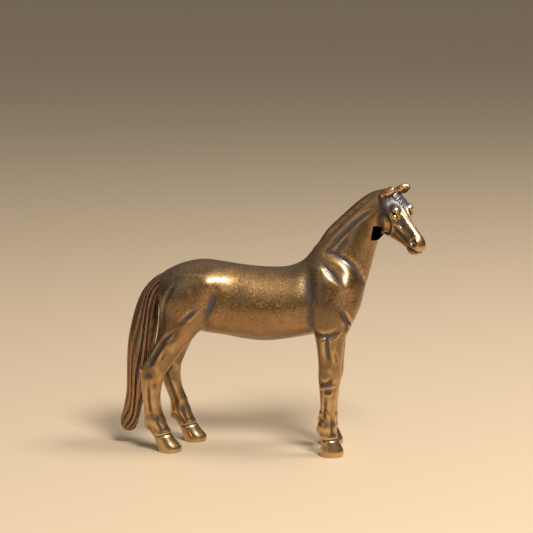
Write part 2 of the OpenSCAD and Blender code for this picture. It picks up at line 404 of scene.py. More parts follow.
def buildMesh(name, shape):
    mesh = bpy.data.meshes.new(name)
    mesh.from_pydata((shape["vertices"] * mm).tolist(), [], shape["faces"])
    for key in ("near", "wide", "grooveAndShade"):
        layer = mesh.attributes.new(key, "FLOAT", "POINT")
        layer.data.foreach_set("value", np.asarray(shape[key], np.float32))
    mesh.polygons.foreach_set("use_smooth", [True] * len(mesh.polygons))
    mesh.normals_split_custom_set_from_vertices(shape["normals"].tolist())
    return mesh


# tables shared with the castings, [x, z, x, z, y, half width, fullness]

bodyRows = [
    [-20.5, 31, -20.6, 27.8, 0, 1, 0], [-20.1, 32, -20.2, 25.4, 0, 3, 0],
    [-18.2, 33.4, -18.3, 22.8, 0, 4.9, 0], [-15.4, 34.5, -15.2, 22, 0, 5.6, 0],
    [-12.2, 35, -12, 21.6, 0, 5.6, -0.05], [-8.6, 34.6, -8.6, 21.2, 0, 5.6, -0.08],
    [-5, 34.1, -5, 20.6, 0, 5.7, -0.1], [-1, 33.8, -1, 20.3, 0, 5.7, -0.1],
    [2.6, 33.9, 3.4, 20.85, 0, 5.5, -0.1], [4.8, 34.6, 8, 21.75, 0, 5.1, -0.1],
    [6, 35.4, 12.6, 23.1, 0, 4.9, -0.1], [7, 36.6, 15.7, 26, 0, 4.5, -0.14],
    [8.2, 38.2, 17.1, 31, 0, 3.7, -0.2], [10.6, 40.7, 18, 34.4, 0, 3, -0.22],
    [13.2, 43.3, 18.8, 37.6, -0.1, 2.4, -0.2], [15.8, 45.7, 19.6, 40, -0.4, 1.85, -0.15],
    [18.4, 47.4, 20.8, 41.2, -0.9, 1.45, -0.08], [21, 48, 22.2, 42.2, -1.5, 1.2, 0]]

maneRows = [
    [7.4, 37.3, 8.3, 36.8, 0, 0.25, 0.2], [8.6, 38.75, 9.6, 37.9, 0, 0.6, 0.2],
    [10.1, 40.95, 11.3, 39.7, 0, 0.85, 0.2], [12.8, 43.6, 14.1, 42.1, 0, 0.9, 0.2],
    [15.4, 46, 16.4, 44.3, -0.2, 0.9, 0.2], [17.9, 47.75, 18.4, 45.8, -0.5, 0.85, 0.2],
    [20.6, 48.5, 20.4, 46.6, -0.7, 0.7, 0.2]]

headRows = [
    [-2.2, -1.2, -3, -4.8, 0, 1.5, 0], [-0.8, -0.3, -0.8, -6.3, 0, 2, 0],
    [1.4, 0.15, 1.6, -7.1, 0, 2.2, -0.05], [3.4, 0.25, 3.6, -6.9, 0, 2.25, 0.03],
    [5, 0.2, 5.2, -6.2, 0, 1.95, 0.06], [6.6, 0, 6.8, -5.3, 0, 1.6, 0.03],
    [8.2, -0.1, 8.2, -4.65, 0, 1.35, 0], [9.6, -0.1, 9.5, -4.1, 0, 1.3, 0],
    [10.7, -0.3, 10.5, -3.8, 0, 1.35, 0], [11.6, -0.8, 11.3, -3.3, 0, 1.15, 0],
    [12.1, -1.5, 11.8, -2.9, 0, 0.65, 0]]

forelockRows = [
    [-1.2, 0.3, -1.2, -0.6, 0, 0.5, 0], [0.2, 0.75, 0.2, -0.4, 0, 0.85, 0],
    [1.6, 0.75, 1.6, -0.2, 0.05, 0.7, 0], [2.6, 0.6, 2.6, 0, 0.1, 0.42, 0],
    [3.3, 0.4, 3.3, 0, 0.1, 0.15, 0]]

# legs: [z, x of the back, x of the front, y from the leg's own middle, half width]
forelegRows = [
    [0, 9.2, 13.4, 0, 1.95], [1, 9.2, 13.5, 0, 1.9], [2.2, 9.4, 12.9, 0, 1.65],
    [3.2, 9.3, 12.4, 0, 1.45], [4.2, 9, 12.2, 0, 1.4], [5.2, 8.8, 12.1, 0, 1.45],
    [7.2, 9.1, 11.9, 0, 1.25], [9.8, 9.2, 12, 0, 1.2], [12.2, 9, 12.4, 0, 1.45],
    [13.8, 8.9, 12.7, 0, 1.6], [15.4, 8.9, 12.8, 0, 1.55], [18, 8.7, 13.1, 0, 1.7],
    [21.2, 8.3, 13.4, 0, 1.85], [23.8, 7.6, 14.7, -0.4, 2.2], [27.5, 7, 15.5, -1, 2.5],
    [31.5, 7.2, 14.6, -1.4, 2.2], [34, 7.6, 12, -1.8, 1.2]]

hindLegRows = [
    [0, -20.4, -16.3, 0, 1.95], [0.9, -20.6, -16.2, 0, 1.9], [2.1, -21, -17.2, 0, 1.65],
    [3.2, -21.6, -17.9, 0, 1.45], [4.2, -22.2, -18.4, 0, 1.4], [5.4, -22.7, -19, 0, 1.45],
    [7.4, -23, -19.6, 0, 1.25], [9.8, -23.3, -20, 0, 1.25], [12.2, -23.5, -19.7, 0, 1.4],
    [14.4, -23.6, -19, 0, 1.5], [15.6, -23.5, -18.2, 0, 1.4], [17, -22.5, -17.2, 0, 1.6],
    [20, -20.9, -14.9, 0, 2.05], [22.5, -20.4, -12.8, -0.4, 2.25], [25.5, -20.2, -10.6, -0.8, 2.3],
    [29, -19.8, -9.4, -1.2, 2.3], [32.5, -17.6, -10.6, -1.6, 1.7]]

tailRows = [
    [-18.6, 33, -19.2, 30.4, 0, 1, 0], [-20.1, 32.3, -20.1, 29.2, 0, 1.2, 0],
    [-22, 31, -20.8, 27.9, 0, 1.35, 0], [-23.8, 28.8, -20.9, 26.3, 0, 1.5, 0],
    [-25.3, 25, -21, 23.6, 0, 1.75, 0], [-26.4, 20, -21.5, 19.6, 0, 1.95, 0],
    [-26.8, 15, -21.9, 15, 0, 1.95, 0], [-26.9, 10.4, -22.3, 9.4, 0, 1.8, 0],
    [-27.4, 7.2, -22.7, 6, 0, 1.55, 0], [-28, 5, -23.6, 4.3, 0, 1.2, 0],
    [-28.1, 3.7, -25.2, 3.1, 0, 0.8, 0], [-27.6, 2.9, -26.4, 2.5, 0, 0.35, 0]]


def legLoft(rows):
    return Loft([[back, z, front, z, y, wide, 0] for z, back, front, y, wide in rows])


bodyLoft, maneLoft, tailLoft = Loft(bodyRows), Loft(maneRows), Loft(tailRows)
headLoft, forelockLoft = Loft(headRows), Loft(forelockRows)
forelegLoft, hindLegLoft = legLoft(forelegRows), legLoft(hindLegRows)

stance = {
    "spread": 4.0,        # half the distance between left and right legs
    "foreStagger": 0.7,   # the left fore hoof stands this far behind the right one
    "foreBend": 9.0,      # from this height down
    "hindStride": 3.5,    # and the left hind hoof this far ahead
    "foreSeam": 21.2,
    "hindSeam": 20.0,
}
headPose = {"poll": (21.55, -1.3, 47.7), "turn": 43, "slope": 44, "tilt": 5}
jawSeam = {"point": (19.6, -0.6, 44.5), "turn": 25, "lean": 10}


def turned(degrees, axis):
    c, s = cos(radians(degrees)), sin(radians(degrees))
    i, j = [(1, 2), (2, 0), (0, 1)][axis]
    m = np.eye(3)
    m[i, i] = m[j, j] = c
    m[i, j], m[j, i] = -s, s
    return m


headAxes = turned(-headPose["turn"], 2) @ turned(headPose["slope"], 1) @ turned(headPose["tilt"], 0)
poll = np.array(headPose["poll"])
jawPoint = np.array(jawSeam["point"])
jawNormal = turned(-jawSeam["turn"], 2) @ turned(jawSeam["lean"], 1) @ np.array([1.0, 0, 0])


def toHead(p):
    return (p - poll) @ headAxes


def legSpace(p, side, c):
    # both legs of a pair are worked in the right leg's own space, with y outward
    share = np.clip((c["shiftFrom"] - p[:, 2]) / (c["shiftFrom"] - c["shiftTo"]), 0, 1)
    shift = c["shift"] if side > 0 else 0
    return np.stack([p[:, 0] - shift * share, side * p[:, 1] - stance["spread"], p[:, 2]], 1)


# trunk and neck

trunkMuscle = {
    # shoulder, upper arm, hip, thigh and ribs: x, z, radii, height and darkness
    "swellings": [
        (13.7, 31.6, 1.9, 2.4, 0.88), (10.3, 27.2, 2.5, 3.2, 0.34),
        (9.4, 33.2, 1.5, 2.4, 0.26), (15.3, 27.4, 1.5, 2.2, 0.34),
        (-11.3, 31.7, 2.5, 1.8, 0.62), (-15.4, 29.6, 3, 2.8, 0.16),
        (-13.8, 25.4, 2, 2.2, 0.28), (-1, 25.4, 8.5, 3.2, 0.12),
        (-6.6, 28.2, 2, 3.6, -0.26), (-13.4, 30.6, 1.6, 1.4, -0.16, 0.25),
    ],
    # where on the trunk, points, width, depth, darkness and taper
    "cuts": [
        # behind the shoulder
        ("side", [(6.7, 34.6), (7, 31), (7.3, 27), (7.6, 23.4)], 1.2, 0.4, 0.8, 0.4),
        # the cut across the shoulder blade, and the edge between neck and shoulder
        ("side", [(8.9, 35.3), (10.9, 33.6), (13, 31.4)], 0.5, 0.38, 0.85, 0.45),
        ("upper", [(9.4, 37), (11.6, 36.6), (13.7, 35.5), (15.4, 33.7), (16.7, 30.8)], 0.72, 0.52, 0.62, 0.3),
        ("upper", [(15.6, 33.4), (16.4, 31.8), (16.9, 30.4)], 0.35, 0.22, 0.75, 0.4),
        # between upper arm and breast, and under the elbow
        ("side", [(12.5, 27.6), (13.7, 25.5), (13.9, 23.8), (13.4, 22.6)], 0.45, 0.42, 0.9, 0.35),
        ("side", [(13.6, 25.3), (14.6, 24.5), (15.3, 24.1)], 0.32, 0.25, 0.8, 0.4),
        ("belly", [(7.8, 23.2), (9.6, 22.4), (11.4, 22.7), (13.2, 23.8)], 0.5, 0.34, 0.8, 0.35),
        # flank, stifle and buttock
        ("side", [(-9, 30.8), (-10.1, 28.6), (-11.2, 25.8), (-12, 22.8)], 1.2, 0.44, 0.42, 0.5),
        ("side", [(-9.5, 29.6), (-10.6, 27.2), (-11.8, 24.2)], 0.5, 0.12, 0.6, 0.45),
        ("side", [(-15.9, 24.3), (-14.5, 25.4), (-13, 26.7)], 0.4, 0.32, 0.85, 0.45),
        ("rump", [(-17.2, 30.9), (-18.4, 28.7), (-19.1, 26), (-19.3, 23)], 0.42, 0.32, 0.75, 0.35),
        ("upper", [(-16.4, 33.2), (-18, 32.7), (-19.6, 31.4)], 0.55, 0.24, 0.4, 0.35),
        ("side", [(-19.4, 20.6), (-18.2, 21.6), (-16.8, 22.9)], 0.36, 0.2, 0.6, 0.45),
        # neck: below the mane, along the windpipe, and the long muscle between
        ("upper", [(9.9, 36.9), (11.9, 39.2), (14.2, 41.7), (16.6, 43.8), (18.6, 45)], 0.4, 0.32, 0.8, 0.3),
        ("upper", [(10.6, 36.9), (12.2, 37.5), (13.5, 39), (14.2, 40.4)], 0.55, 0.22, 0.55, 0.45),
        ("upper", [(18.6, 41), (17.7, 37.6), (16.6, 34.4)], 0.5, 0.18, 0.3, 0.45),
    ],
    "spineLine": 0.08,
}


def shapeTrunk(clay):
    p, m = clay.p, trunkMuscle
    out = np.abs(p[:, 1])
    masks = {"side": fade(out, 0.9, 2.2), "upper": fade(out, 0.5, 1.6), "belly": fade(out, 1.6, 3.2),
             "rump": fade(out, 1.2, 2.6)}
    clay.mask = masks["side"]
    for row in m["swellings"]:
        clay.rise(*row)
    for where, *row in m["cuts"]:
        clay.mask = masks[where]
        clay.cut(*row)
    clay.mask = masks["upper"]
    clay.rise(15.8, 39.6, 1.6, 3.2, 0.16)
    # breast, seen from the front
    breastLine = [(17.4, 0, 31.2), (16.9, 0, 28.4), (15.4, 0, 25.4), (13.4, 0, 23.6)]
    clay.stroke(breastLine, 0.6, 0.4, None, 0.8, 0.3)
    for y in (2.3, -2.3):
        clay.swell((15.9, y, 29.2), (1.5, 1.5, 2.2), 0.3)
    # between the buttocks, below the tail
    clay.stroke([(-20.6, 0, 29), (-20.5, 0, 26), (-18.6, 0, 22.8)], 0.6, 0.5, None, 0.9, 0.3)
    # the filed line along the spine
    above = fade(p[:, 2], 31, 33) * fade(-p[:, 0], -8, -5)
    clay.f -= m["spineLine"] * above * np.exp(-(p[:, 1] / 0.42) ** 4)


# the legs, each worked upright from its sole

legDetail = {"coronet": 0.13, "tendonGroove": 0.2, "kneeGroove": 0.24, "halfWidth": 3.4, "top": 25}


def cutCoronet(leg, c):
    # the groove at the top of the hoof and the roll of hair above it
    rim = c["rim"] + c["rimSlope"] * (leg.p[:, 0] - c["rimMiddle"])
    z = leg.p[:, 2]
    cut = bell(z - rim, 0.22)
    leg.f += legDetail["coronet"] * cut
    leg.f -= 0.07 * bell(z - rim - 0.5, 0.35)
    leg.darken(0.5 * cut)


def shapeForeleg(leg):
    # ergot and the round of the fetlock
    leg.add(Limb((9.6, 0, 5.3), (9.2, 0, 4.7), 0.95, 0.72), 0.5)
    leg.swell((9.9, 0, 5.3), (1, 2.2, 0.9), 0.18)
    leg.swell((11.8, 0, 5.4), (0.8, 1.8, 0.9), 0.14)
    leg.swell((9.1, 0, 7.9), (0.5, 1.2, 0.45), 0.24)
    leg.cut([(11.45, 7.2), (11.35, 5.8), (11.5, 4)], 0.34, 0.22, 0.8, 0.3)
    leg.cut([(10.3, 11), (10.2, 9), (10, 6.8)], 0.34, legDetail["tendonGroove"], 0.5, 0.35)
    leg.cut([(10.9, 7.4), (10.2, 8.6)], 0.24, -0.1)
    leg.cut([(9.3, 7.1), (9.9, 6.4)], 0.24, 0.1, 0.6)
    # knee: the band across it, the ridge below and the square hollow
    leg.swell((12.3, 0, 14.4), (0.9, 1.7, 1.5), 0.22)
    leg.swell((9.3, 0, 14.9), (0.7, 1.2, 1), 0.2)
    leg.rise(11, 16, 0.9, 0.8, 0.1)
    leg.cut([(8.8, 13.9), (9.9, 13.5), (10.8, 13.8), (11.4, 14.6)], 0.46, legDetail["kneeGroove"], 0.75, 0.3)
    leg.cut([(9.4, 12.75), (10.6, 12.8), (12, 13.15)], 0.26, -0.18)
    leg.cut([(9.8, 11.95), (11.5, 12.25)], 0.44, 0.24, 0.6, 0.3)
    leg.rise(9.8, 12.6, 0.6, 0.6, 0.08)
    # forearm
    leg.cut([(10.4, 22.6), (10.5, 20.4), (10.9, 17.8)], 0.42, 0.3, 0.95, 0.35)
    leg.cut([(11.9, 19.4), (12.3, 17.2)], 0.3, 0.1, 0.4, 0.4)
    leg.rise(9.5, 19.8, 0.8, 2.4, 0.18)
    leg.rise(12, 19.6, 0.8, 2.6, 0.18)


def shapeHindLeg(leg):
    leg.add(Limb((-22, 0, 5.4), (-22.3, 0, 4.7), 0.95, 0.7), 0.5)
    leg.add(Limb((-22.2, 0, 14.6), (-23.1, 0, 15.1), 0.95, 0.62), 0.5)
    leg.swell((-19.4, 0, 5.6), (0.9, 1.9, 1), 0.16)
    leg.swell((-21.6, 0, 5.8), (1, 2.2, 0.9), 0.12)
    leg.cut([(-20.6, 7.2), (-20.3, 5.6), (-19.6, 4.2)], 0.26, 0.18, 0.7, 0.3)
    # between the hock tendon and the shin, and the hollow of the hock
    leg.cut([(-18.8, 21.2), (-20, 19.2), (-21.2, 17.3), (-22, 15.9)], 0.55, 0.4, 0.85, 0.35)
    leg.rise(-21.9, 14.5, 1.1, 0.9, -0.24, 0.85)
    leg.rise(-20.3, 15.6, 0.9, 0.9, 0.2)
    leg.rise(-19.6, 14.2, 0.8, 1.1, 0.12)
    leg.rise(-20.9, 12.3, 0.7, 1, -0.12, 0.5)
    leg.cut([(-21.9, 12.9), (-21.9, 9.8), (-21.5, 7.2)], 0.38, legDetail["tendonGroove"], 0.6, 0.35)
    leg.rise(-17.4, 19.4, 1.3, 2.2, 0.24)
    leg.cut([(-18.7, 18.8), (-19.6, 16.9)], 0.32, 0.14, 0.45, 0.4)


foreleg = {
    "loft": forelegLoft, "join": 1.2, "work": shapeForeleg, "back": 6, "front": 16,
    "shift": -stance["foreStagger"], "shiftFrom": stance["foreBend"], "shiftTo": 0,
    "rim": 3.1, "rimSlope": 0.08, "rimMiddle": 11,
}
hindLeg = {
    "loft": hindLegLoft, "join": 1.4, "work": shapeHindLeg, "back": -30, "front": -11,
    "shift": stance["hindStride"], "shiftFrom": stance["hindSeam"], "shiftTo": 8,
    "rim": 3.1, "rimSlope": 0.22, "rimMiddle": -19.4,
}


def shapeLegs(clay, c):
    for side in (-1, 1):
        q = legSpace(clay.p, side, c)
        clay.add(c["loft"], c["join"], q)
        x, y, z = q.T
        near = (np.abs(y) < legDetail["halfWidth"]) & (z < legDetail["top"])
        i = np.nonzero(near & (x > c["back"]) & (x < c["front"]))[0]
        if len(i):
            leg = Clay(q[i])
            leg.f, leg.dark = clay.f[i], clay.dark[i]
            leg.mask = fade(np.abs(leg.p[:, 1]), 0.35, 1.0)
            cutCoronet(leg, c)
            c["work"](leg)
            clay.f[i], clay.dark[i] = leg.f, leg.dark


# head, worked in its own frame: x down the face, y to its left, z out of the face

headDetail = {
    "eye": (4.42, 1.84, -0.9),
    "eyeRadius": 0.6,
    "brow": (3.55, 1.62, 0.1),
    "cheek": (3.3, -3.8),
    "cheekRadius": 1.75,
    "behindJaw": 0.9,
}

earLook = {
    "right": {"foot": (-0.15, 1.42, -0.15), "length": 2.4, "lean": 20, "splay": -4, "opening": 25},
    "left": {"foot": (-0.25, 1.72, -0.2), "length": 2.45, "lean": -4, "splay": 40, "opening": 24},
    "thick": 0.85,
}


class Ear:
    def __init__(self, side):
        e = earLook["left" if side > 0 else "right"]
        self.foot = np.array(e["foot"]) * (1, side, 1)
        self.length = e["length"]
        opening = turned(-side * e["opening"], 2)
        self.axes = opening @ turned(e["lean"], 1) @ turned(-side * e["splay"], 0)
        self.low, self.high = self.foot - 4, self.foot + 4

    def space(self, q):
        # upright from the foot of the ear, x towards its opening, y to the left
        return (q - self.foot) @ self.axes

    def distance(self, q):
        e = self.space(q)
        up = np.clip(e[:, 2] / self.length, 0, 1)
        wide = np.maximum(0.12, 0.74 + 0.4 * np.sin(up * 3.1) - 0.62 * up ** 4)
        thick = earLook["thick"] * (1 - 0.6 * up ** 2)
        body = np.sqrt((e[:, 0] / thick) ** 2 + (e[:, 1] / wide) ** 2)
        f = (body - 1) * np.minimum(thick, wide)
        return np.maximum(f, e[:, 2] - self.length)

    def carved(self, q):
        # with its cup, which is darker towards the bottom
        e = self.space(q)
        up = e[:, 2] / self.length
        wide = 0.16 + 0.46 * np.sin(np.clip(up * 1.08, 0, 1) * 3.0)
        cup = np.sqrt(((e[:, 0] - 0.66) / 0.62) ** 2 + (e[:, 1] / np.maximum(wide, 0.1)) ** 2)
        depth = (1 - cup) * 0.36 * fade(up, 0.14, 0.3) * fade(-up, -0.97, -0.8)
        dark = np.clip(1.3 - cup, 0, 1) * fade(up, 0.05, 0.3)
        f = np.maximum(self.distance(q), np.where(cup < 1.6, depth, -9))
        return np.maximum(f, -e[:, 2] - 0.5), dark


ears = {side: Ear(side) for side in (-1, 1)}


def shapeHead(q):
    d = headDetail
    head = Clay(q)
    head.add(headLoft, 0.01)
    m = np.stack([q[:, 0], np.abs(q[:, 1]), q[:, 2]], 1)
    ex, ey, ez = d["eye"]
    # broad forehead, brows, and the orbits they shelter
    head.add(Ball((1.9, 1.05, -0.85), (2.7, 1.75, 1.02)), 0.7, m)
    head.add(Ball(d["brow"], (0.9, 0.7, 0.54), 12), 0.62, m)
    head.add(Ball((ex, ey - 0.95, ez), (1.05, 0.9, 0.9)), 0.4, m)
    ball = np.linalg.norm(m - (ex, ey - 0.05, ez), axis=1)
    head.f -= 0.1 * bell(ball - 0.76, 0.16)
    head.f = np.maximum(head.f, d["eyeRadius"] - ball)
    head.darken(bell(ball - 0.62, 0.2))
    lid = [(ex - 1, ey + 0.2, ez + 0.25), (ex - 0.2, ey + 0.2, ez + 0.66), (ex + 0.75, ey - 0.2, ez + 0.58)]
    head.stroke(lid, 0.2, 0.3, m, 1, 0.2)
    head.swell((ex - 2, 1.9, ez + 0.1), (0.9, 0.8, 0.7), -0.24, m, 0.9)
    head.swell((0.6, 2, -1.2), (1, 0.9, 0.9), -0.18, m, 0.8)
    # the hollow in front of the eye, and the crest of the cheekbone below it
    head.stroke([(5.2, 1.5, -0.5), (5.9, 1.42, -0.75), (7.1, 1.3, -1.05)], 0.42, 0.36, m, 1, 0.25)
    head.stroke([(4.9, 1.9, -1.85), (6, 1.7, -1.75), (7.4, 1.35, -1.6)], 0.3, -0.24, m)
    head.stroke([(5.6, 1.75, -2.5), (7.2, 1.45, -2.4), (9, 1.25, -2.1)], 0.38, 0.2, m, 0.65, 0.3)
    # the flat nasal bone with its edges
    head.stroke([(4.3, 0.72, 0.1), (6.8, 0.66, -0.05), (9.4, 0.58, -0.2)], 0.26, -0.13, m)
    # painted shade: the middle of the nasal bone is painted darker, so that its reflection keeps to the near
    # edge
    top = fade(q[:, 2], -1, -0.4) * fade(q[:, 0], 3.6, 4.4) * fade(-q[:, 0], -9.8, -9)
    head.darken(0.6 * top * bell(q[:, 1], 0.34))
    head.stroke([(7.2, 1.15, -0.75), (8.6, 1.1, -0.85), (9.7, 1.15, -0.9)], 0.34, 0.16, m, 0.6, 0.3)
    # cheek: a disc with a crescent ditch and a ridge before it
    cx, cz = d["cheek"]
    edge = d["cheekRadius"]
    across = np.hypot(q[:, 0] - cx, q[:, 2] - cz)
    onCheek = fade(m[:, 1], 0.9, 1.6)
    head.f -= 0.31 * onCheek * fade(-across, -edge - 0.1, -edge + 0.8)
    front = fade(q[:, 0] - cx + 0.55 * (q[:, 2] - cz), -0.6, 0.9)
    ditch = bell(across - edge - 0.18, 0.22) * onCheek
    head.f += 0.22 * ditch * (0.1 + 0.9 * front)
    head.darken(ditch * (0.05 + 0.8 * front))
    head.f -= 0.13 * bell(across - edge - 0.72, 0.32) * onCheek * front
    # nostril, lips and chin
    head.swell((10.4, 1.05, -0.9), (0.8, 0.7, 0.8), 0.14, m)
    nostril = np.sqrt(((q[:, 0] - 10.3) / 0.6) ** 2 + ((q[:, 2] + 1.15) / 0.5) ** 2)
    flare = fade(m[:, 1], 0.5, 0.9)
    head.f += (0.75 * np.exp(-nostril ** 4) - 0.07 * bell(nostril - 1.5, 0.5)) * flare
    head.darken(np.exp(-nostril ** 4) * flare)
    head.add(Ball((10.3, 0, -3.35), (1.35, 1.05, 0.72), 12), 0.15)
    head.cut([(9.4, -3), (10.2, -2.78), (11, -2.42), (11.8, -2.15), (12.8, -2)], 0.28, 0.58, 1.3, 0.08)
    head.swell((11.3, 0.8, -1.6), (0.7, 0.8, 0.5), 0.1, m)
    head.stroke([(8, 0.9, -4.6), (8.9, 0.9, -4.3)], 0.35, 0.12, m, 0.6, 0.3)
    # between the jaw bones, underneath
    head.stroke([(3.6, 0, -7.3), (6, 0, -5.7), (8.6, 0, -4.4)], 0.5, 0.3, None, 0.8, 0.3)
    # the poll and temples stayed dark, most of all round the ears and the lock
    dull = 0.85 * fade(-q[:, 0], -4.4, -3.3) * fade(q[:, 2], -3.4, -1.6)
    for side in (-1, 1):
        close = ears[side].distance(q)
        dull = np.maximum(dull, bell(np.maximum(close, 0), 0.7))
        head.fillet(ears[side], 0.35)
    head.darken(dull)
    head.fillet(forelockLoft, 0.25)
    return head


headBox = {"low": np.array([18.6, -7.0, 36.3]), "high": np.array([28.4, 3.8, 49.2])}


def headField(p):
    # cut off behind the jaw
    head = shapeHead(toHead(p))
    back = -((p - jawPoint) @ jawNormal) - headDetail["behindJaw"]
    return -softMin(-head.f, -back, 0.7), head.dark


def joinHead(clay, k=0.3):
    i = clay.inside(headBox["low"], headBox["high"], 1.2)
    if len(i):
        f, dark = headField(clay.p[i])
        crease = 0.8 * bell(clay.f[i] - f, 0.3) * (np.abs(clay.f[i]) < 1.0)
        inHead = f < clay.f[i]
        clay.dark[i] = np.maximum(np.where(inHead, dark, clay.dark[i]), crease)
        clay.f[i] = softMin(clay.f[i], f, k)


def horse(p):
    clay = Clay(p)
    clay.add(bodyLoft, 0.01)
    shapeLegs(clay, foreleg)
    shapeLegs(clay, hindLeg)
    shapeTrunk(clay)
    clay.fillet(tailLoft, 0.7)
    joinHead(clay)
    clay.f = np.maximum(clay.f, -p[:, 2])  # flat soles
    return clay


# tail and mane

hairCut = {"tailLocks": 13, "tailDepth": 0.36, "strandDepth": 0.04, "maneDepth": 0.03}


def tail(p):
    clay = Clay(p)
    clay.add(tailLoft, 0.01)
    i = np.nonzero(clay.f < 1.2)[0]
    a, aside, wide, along = tailLoft.place(p[i])[:4]
    b = aside / wide
    around = np.arctan2(b, a) / tau * hairCut["tailLocks"]
    around += 0.35 * np.sin(along * 7 + 1.3 * np.sign(b)) + 0.22 * np.sin(along * 16 + around * 1.7)
    lock = np.abs(np.sin(around * np.pi))
    valley = bell(lock, 0.5)
    strand = np.exp(-(np.abs(np.sin(around * 3 * np.pi + 0.6 * np.sin(along * 20))) / 0.4) ** 2)
    # shallower where the tail is thin, and only in its skin
    strength = fade(along, 0.02, 0.14) * (1 - 0.65 * fade(along, 0.8, 0.97))
    strength = strength * fade(clay.f[i], -0.85, -0.5)
    clay.f[i] += strength * (hairCut["tailDepth"] * valley + hairCut["strandDepth"] * strand) - 0.1 * strength
    clay.dark[i] = strength * np.maximum(valley, 0.3 * strand)
    return clay


def mane(p):
    clay = Clay(p)
    clay.add(maneLoft, 0.01)
    i = np.nonzero(clay.f < 1.0)[0]
    a, aside, wide, along = maneLoft.place(p[i])[:4]
    b = aside / wide
    lock = np.abs(np.sin((a * 1.1 + along * 9 + 0.4 * np.sin(along * 11)) * np.pi))
    valley = bell(lock, 0.3) * fade(np.abs(b), 0.15, 0.6)
    clay.f[i] += hairCut["maneDepth"] * valley
    clay.dark[i] = 0.4 * valley
    neck = Clay(p[i])
    neck.add(bodyLoft, 0.01)
    clay.f[i] = np.maximum(clay.f[i], -neck.f - 0.45)
    clay.f[i] = np.maximum(clay.f[i], (p[i] - jawPoint) @ jawNormal - 1.0)
    return clay


def forelock(p):
    q = toHead(p)
    clay = Clay(q)
    clay.add(forelockLoft, 0.01)
    clay.stroke([(-1.0, 0.25, 0.7), (0.8, 0.35, 0.85), (2.8, 0.2, 0.6)], 0.14, 0.2, None, 0.9)
    clay.stroke([(-0.8, -0.3, 0.7), (0.8, -0.35, 0.85), (2.4, -0.1, 0.7)], 0.14, 0.2, None, 0.9)
    clay.f += 0.06 * np.sin(q[:, 0] * 6.5 + q[:, 1] * 3)
    clay.p = p
    return clay


def ear(side):
    def model(p):
        clay = Clay(p)
        clay.f, clay.dark = ears[side].carved(toHead(p))
        return clay
    return model


def eye(side):
    # an almond, with the pupil sunk in it
    def model(p):
        q = toHead(p) * (1, side, 1)
        ex, ey, ez = headDetail["eye"]
        clay = Clay(p)
        radius = headDetail["eyeRadius"]
        clay.f = Ball((ex, ey - 0.05, ez), (radius, radius, radius * 0.92), 12).distance(q)
        pupil = np.exp(-np.sum(((q - (ex + 0.12, ey + 0.42, ez + 0.14)) / (0.15, 0.4, 0.15)) ** 2, 1))
        clay.f += 0.08 * pupil
        clay.dark = 1.2 * pupil
        return clay
    return model


# the model is sculpted whole and then parted along the seams, so that no joint shows

seams = {
    "neckPoint": (12.65, 0, 34.6), "neckNormal": (0.629, 0, 0.777),
    "throat": 39.2,       # the head's seam runs level below the jaw
    "step": 0.13,
    "headStep": 0.075,
}
neckPoint, neckNormal = np.array(seams["neckPoint"]), np.array(seams["neckNormal"])


def headSide(p):
    # above nought in the head, and the way to step onto its seam
    behind = (p - jawPoint) @ jawNormal
    below = p[:, 2] - seams["throat"]
    way = np.where((behind < below)[:, None], jawNormal, (0, 0, 1.0))
    return np.minimum(behind, below), way


def seamHeight(p):
    return np.where(p[:, 0] > 0, stance["foreSeam"], stance["hindSeam"])


def legsBelow(shape):
    # everything joined to a sole without rising above its seam
    v = shape["vertices"]
    low = v[:, 2] < seamHeight(v)
    reached = v[:, 2] < 1.0
    a, b = neighbours(shape["quads"], len(v))[:2]
    keep = low[a] & low[b]
    a, b = a[keep], b[keep]
    total = 0
    while reached.sum() > total:
        total = reached.sum()
        for _ in range(4):
            reached[b[reached[a]]] = True
    return reached


pieceNames = ["torso", "neck", "head", "left_foreleg", "right_foreleg", "left_hind_leg", "right_hind_leg"]


def labelQuads(shape):
    v, quads = shape["vertices"], shape["quads"]
    middle = v[quads].mean(1)
    label = np.zeros(len(quads), int)
    label[(middle - neckPoint) @ neckNormal > 0] = 1
    head = (headSide(middle)[0] > 0) & (middle[:, 0] > 16.5) & (middle[:, 2] > seams["throat"])
    label[head] = 2
    legs = legsBelow(shape)
    onLeg = legs[quads].any(1) & (middle[:, 2] < seamHeight(middle))
    which = 3 + 2 * (middle[:, 0] < 0) + (middle[:, 1] < 0)
    label[onLeg] = which[onLeg]
    return label


def settleSeams(shape, label):
    # moves the corners that two pieces share onto the seam's plane, and names the seam of each
    v, quads = shape["vertices"], shape["quads"]
    least, most = np.full(len(v), 99), np.full(len(v), -1)
    for corner in range(4):
        np.minimum.at(least, quads[:, corner], label)
        np.maximum.at(most, quads[:, corner], label)
    seam = np.where(least != most, most, 0)
    shape["seam"] = seam
    i = np.nonzero(seam)[0]
    for _ in range(3):
        p = v[i]
        away, way = headSide(p)
        neckAway = (p - neckPoint) @ neckNormal
        onNeck = seam[i] == 1
        away, way = np.where(onNeck, neckAway, away), np.where(onNeck[:, None], neckNormal, way)
        leg = seam[i] > 2
        away = np.where(leg, p[:, 2] - seamHeight(p), away)
        way = np.where(leg[:, None], (0, 0, 1.0), way)
        p = p - away[:, None] * way
        normal = shape["normals"][i]
        normal = normal - np.sum(normal * way, 1)[:, None] * way
        size = np.maximum(np.sum(normal ** 2, 1), 0.2)
        v[i] = p - (np.clip(horse(p).f, -0.1, 0.1) / size)[:, None] * normal


